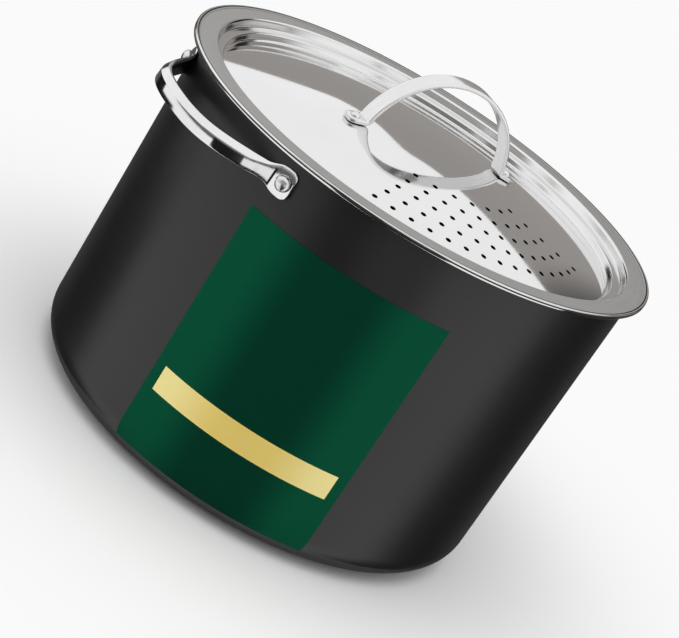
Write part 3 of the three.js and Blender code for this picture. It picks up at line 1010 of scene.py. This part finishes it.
# a half ball squashed to a radius and a height, above or below its seat
def domeNodes(tree, radius, height, limit):
    ball = namedNode(tree, "GeometryNodeMeshUVSphere", {
        "Segments": rivetMesh["segments"], "Rings": rivetMesh["rings"], "Radius": 1})
    x, y, z = split(tree, addNode(tree, "GeometryNodeInputPosition").outputs[0])
    kept = mathNode(tree, limit, z, 0)
    moved = combine(tree, *(mathNode(tree, "MULTIPLY", part, size)
                            for part, size in ((x, radius), (y, radius), (kept, height))))
    return namedNode(tree, "GeometryNodeSetPosition", {
        "Geometry": ball.outputs["Mesh"], "Position": moved}).outputs[0]


def lowered(tree, geometry, drop):
    shift = combine(tree, 0, 0, mathNode(tree, "MULTIPLY", drop, -1))
    return namedNode(tree, "GeometryNodeTransform", {
        "Geometry": geometry, "Translation": shift}).outputs[0]


def makeRivetTree():
    tree, value, result = newGeometryTree("rivetRow", {
        "Float": ("headRadius", "headHeight", "shankRadius", "shankLength", "backRadius",
                  "backHeight"),
        "Material": ("finish",)})
    head = domeNodes(tree, value["headRadius"], value["headHeight"], "MAXIMUM")
    back = domeNodes(tree, value["backRadius"], value["backHeight"], "MINIMUM")
    length = value["shankLength"]
    shank = namedNode(tree, "GeometryNodeMeshCylinder", {
        "Vertices": rivetMesh["shankSides"], "Radius": value["shankRadius"], "Depth": length})
    halfLength = mathNode(tree, "MULTIPLY", length, 0.5)
    joined = addNode(tree, "GeometryNodeJoinGeometry")
    for shape in (head, lowered(tree, shank.outputs["Mesh"], halfLength),
                  lowered(tree, back, length)):
        feed(tree, joined.inputs[0], shape)
    facing = namedNode(tree, "GeometryNodeInputNamedAttribute", {"Name": "facing"},
                       data_type="FLOAT_VECTOR")
    turn = namedNode(tree, "FunctionNodeAlignRotationToVector", {"Vector": facing.outputs[0]},
                     axis="Z")
    spread = namedNode(tree, "GeometryNodeInstanceOnPoints", {
        "Points": value["Geometry"], "Instance": joined.outputs[0], "Rotation": turn.outputs[0]})
    real = addNode(tree, "GeometryNodeRealizeInstances", spread.outputs[0])
    endTree(tree, real.outputs[0], value["finish"], result)
    return tree


rivetTree = makeRivetTree()


def makeRivets(name, sizes, stack, seats, body, nodes):
    piece = newPiece(name, [spot for spot, _ in seats], [])
    facing = piece.data.attributes.new("facing", "FLOAT_VECTOR", "POINT")
    facing.data.foreach_set("vector", [part for _, way in seats for part in way])
    values = {key: size * mm for key, size in sizes.items()}
    values.update(shankLength=(stack + sizes["backGap"]) * mm, finish=rivetFinish)
    bakeTree(piece, rivetTree, values)
    smoothMesh(piece.data, sharp=40)
    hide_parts(*nodes)
    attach(piece, body)


def sideRivetSeats():
    radius = wallRadius(handleHeight()) + seatGap + handle["tangThickness"]
    seats = []
    for turn in (0, math.pi):
        for side in (1, -1):
            way = Vector(turned(1, turn + side * rivetAngle(), 0))
            seats.append((way * radius + Vector((0, 0, handleHeight())), way))
    return seats


def lidRivetSeats():
    radius = arch["halfSpan"] + arch["rivetOffset"]
    slope = (domeHeight(radius + 1) - domeHeight(radius - 1)) / 2
    spin = Matrix.Rotation(lidTurn, 3, "Z")
    seats = []
    for side in (1, -1):
        way = spin @ Vector((-slope * side, 0, 1)).normalized()
        foot = spin @ Vector((side * radius, 0, domeHeight(radius)))
        seats.append((foot + way * (seatGap + arch["thickness"]), way))
    return seats


makeRivets("sideRivets", sideRivet, handle["tangThickness"] + seatGap + pot["wall"],
           sideRivetSeats(), "pot",
           ["left_rivet_far", "left_rivet_near", "right_rivet_far", "right_rivet_near"])
makeRivets("lidRivets", lidRivet, arch["thickness"] + seatGap + lid["sheet"], lidRivetSeats(),
           "lid", ["lid_rivet_left", "lid_rivet_right"])
print("rivets made")


# studio: floor, world, lamps, and a cup of soft boxes that only reflections see

# a sector is its azimuth, half width and soft edge in degrees; a tall wall adds its height, and a
# grey zone is two heights and a level
studio = dict(floorSize=9, floorColour=0.94, floorRough=0.9, floorSpecular=0.1, fadeStart=0.15,
              fadeEnd=0.36, fadeWhite=0.955, diffuseLevel=0.72,
              cupRadius=2.6, cupInset=0.98, cupBottom=-2.4, cupTop=1.0, cupSegments=288,
              tallWalls=((-3, 57, 4, 1.58), (-131.8, 40, 25, 2.2)), darkLevel=0.012,
              wallColour=(0.335, 0.315, 0.30, 1), paleColour=(1, 1, 1, 1),
              paleTopColour=(0.52, 0.505, 0.49, 1), paleLow=0.9, paleHigh=1.3,
              paleSectors=((-131.8, 62, 12), (122, 40, 10), (-70, 32, 24)),
              darkSectors=((75, 9, 3), (24, 9, 3)), darkColour=(0.02, 0.02, 0.02, 1),
              greySector=(-142, 36, 5), greyZones=((0, 0.7, 0.38), (0.7, 1.28, 0.2)))

# azimuth, half width, soft edge in degrees, level, then the heights it lies between
softBoxes = [
    (169.2, 35, 2.5, 1.0, -2.5, -0.6),
    (168.2, 34.2, 1.2, 1.0, -0.6, -0.2),
    (168.2, 34.2, 1.2, 0.1, -0.2, 0),
    (126.5, 9, 1.2, 1.0, -0.5, -0.1),
    (-69.8, 30, 2.5, 1.0, -2.5, 0),
    (48.2, 44, 9, 0.11, -2.5, 0),
    (-119.8, 11.2, 1.0, 0.9, -0.55, -0.07),
]


def makeFloor():
    half = studio["floorSize"] / 2 / mm
    verts = [(-half, -half, 0), (half, -half, 0), (half, half, 0), (-half, half, 0)]
    floor = newPiece("floor", verts, [(0, 1, 2, 3)])
    material, tree, shader = newMaterial("paleFloor", {
        "Base Color": grey(studio["floorColour"]), "Roughness": studio["floorRough"],
        "Specular IOR Level": studio["floorSpecular"]})
    distance = vectorMath(tree, "LENGTH", objectSpot(tree))
    fade = mapRange(tree, distance, studio["fadeStart"], studio["fadeEnd"], 0, 1, smooth=True)
    seen = addNode(tree, "ShaderNodeLightPath").outputs["Is Camera Ray"]
    white = namedNode(tree, "ShaderNodeEmission", {"Strength": studio["fadeWhite"]})
    mixed = addNode(tree, "ShaderNodeMixShader", mathNode(tree, "MULTIPLY", fade, seen),
                    shader.outputs[0], white.outputs[0])
    feed(tree, tree.nodes["Material Output"].inputs["Surface"], mixed.outputs[0])
    addFinishes(floor, material)
    floor.visible_glossy = False


# level inside a sector of azimuth, 0 outside it
def sectorMask(tree, unit, middle, half, soft, level=1):
    way = (math.cos(math.radians(middle)), math.sin(math.radians(middle)), 0)
    facing = vectorMath(tree, "DOT_PRODUCT", unit, way)
    outer = math.cos(math.radians(half + soft))
    inner = math.cos(math.radians(half - soft))
    return mapRange(tree, facing, outer, inner, 0, level, smooth=True)


# a share kept only between two heights
def between(tree, share, height, low, high):
    for edge, test in ((low, "GREATER_THAN"), (high, "LESS_THAN")):
        share = mathNode(tree, "MULTIPLY", share, mathNode(tree, test, height, edge))
    return share


# soft boxes below the horizon, dark between them; above it a wall with pale, dark and grey parts
def makeCupMaterial():
    material = bpy.data.materials.new("softBoxCup")
    material.use_nodes = True
    tree = material.node_tree
    tree.nodes.clear()
    x, y, height = split(tree, objectSpot(tree))
    unit = vectorMath(tree, "NORMALIZE", combine(tree, x, y))
    lit = studio["darkLevel"]
    for *sector, low, high in softBoxes:
        share = between(tree, sectorMask(tree, unit, *sector), height, low, high)
        lit = mathNode(tree, "MAXIMUM", share, lit)
    bright = 0
    for sector in studio["paleSectors"]:
        bright = mathNode(tree, "MAXIMUM", sectorMask(tree, unit, *sector), bright)
    lower = mapRange(tree, height, studio["paleLow"], studio["paleHigh"], 1, 0, smooth=True)
    pale = mixColour(tree, lower, studio["paleTopColour"], studio["paleColour"])
    wall = mixColour(tree, bright, studio["wallColour"], pale)
    for sector in studio["darkSectors"]:
        wall = mixColour(tree, sectorMask(tree, unit, *sector), wall, studio["darkColour"])
    for low, high, level in studio["greyZones"]:
        share = between(tree, sectorMask(tree, unit, *studio["greySector"]), height, low, high)
        wall = mixColour(tree, share, wall, warmGrey(level))
    above = mathNode(tree, "GREATER_THAN", height, 0)
    glow = namedNode(tree, "ShaderNodeEmission", {"Color": mixColour(tree, above, lit, wall)})
    feed(tree, addNode(tree, "ShaderNodeOutputMaterial").inputs["Surface"], glow.outputs[0])
    return material


def makeCup():
    radius, bottom, top = (studio[key] / mm for key in ("cupRadius", "cupBottom", "cupTop"))
    profile = [Vector(spot) for spot in ((0, bottom), (radius * studio["cupInset"], bottom),
                                         (radius, bottom), (radius, 0), (radius, top))]
    verts, faces = latheShape(profile, studio["cupSegments"])
    raised = []
    for x, y, z in verts:
        if z == top:
            for middle, half, soft, tallTop in studio["tallWalls"]:
                off = abs(math.remainder(math.degrees(math.atan2(y, x)) - middle, 360))
                tall = 1 - smoothStep(half - soft, half + soft, off)
                z += tall * (tallTop - studio["cupTop"]) / mm
        raised.append((x, y, z))
    cup = newPiece("softBoxCup", raised, faces)
    addFinishes(cup, makeCupMaterial())
    cup.visible_camera = cup.visible_diffuse = cup.visible_shadow = False
    cup.visible_transmission = cup.visible_volume_scatter = False


def makeWorld():
    world = bpy.data.worlds.new("whiteStudio")
    world.use_nodes = True
    tree = world.node_tree
    path = addNode(tree, "ShaderNodeLightPath").outputs
    mirrored = mathNode(tree, "MAXIMUM", path["Is Glossy Ray"], path["Is Transmission Ray"])
    seen = mathNode(tree, "MAXIMUM", path["Is Camera Ray"], mirrored)
    feedNamed(tree, tree.nodes["Background"], {
        "Color": grey(1), "Strength": mapRange(tree, seen, 0, 1, studio["diffuseLevel"], 1)})
    scene.world = world


lamps = [
    dict(name="overheadLamp", place=(-0.3, -0.2, 2.1), aim=(0, 0, 0.1), size=2.2, power=17),
    dict(name="leftLamp", place=(-1.9, 0.3, 1.0), aim=(0, 0, 0.1), size=1.2, power=3),
]


def makeLamps():
    for lamp in lamps:
        light = bpy.data.lights.new(lamp["name"], "AREA")
        light.shape = "DISK"
        light.size = lamp["size"]
        light.energy = lamp["power"]
        source = bpy.data.objects.new(lamp["name"], light)
        source.location = lamp["place"]
        aim = Vector(lamp["aim"]) - Vector(lamp["place"])
        source.rotation_euler = aim.to_track_quat("-Z", "Y").to_euler()
        source.visible_glossy = False
        scene.collection.objects.link(source)


makeFloor()
makeCup()
makeWorld()
makeLamps()
print("studio ready")


# camera, fitted to the photograph, which shows the pot leaning by the roll

view = dict(aim=(0.00473, -0.00676, 0.0798), azimuth=-41.8, elevation=19.96, roll=32.89,
            distance=1.1838, lens=124.171, sensor=36, nearest=0.05)


def makeCamera():
    camera = bpy.data.objects.new("photoCamera", bpy.data.cameras.new("photoCamera"))
    camera.data.lens = view["lens"]
    camera.data.sensor_width = view["sensor"]
    camera.data.clip_start = view["nearest"]
    turn = (Matrix.Rotation(math.radians(view["azimuth"]), 4, "Z")
            @ Matrix.Rotation(math.radians(90 - view["elevation"]), 4, "X")
            @ Matrix.Rotation(math.radians(view["roll"]), 4, "Z"))
    away = Matrix.Translation((0, 0, view["distance"]))
    camera.matrix_world = Matrix.Translation(view["aim"]) @ turn @ away
    scene.collection.objects.link(camera)
    scene.camera = camera


makeCamera()
print("camera placed")
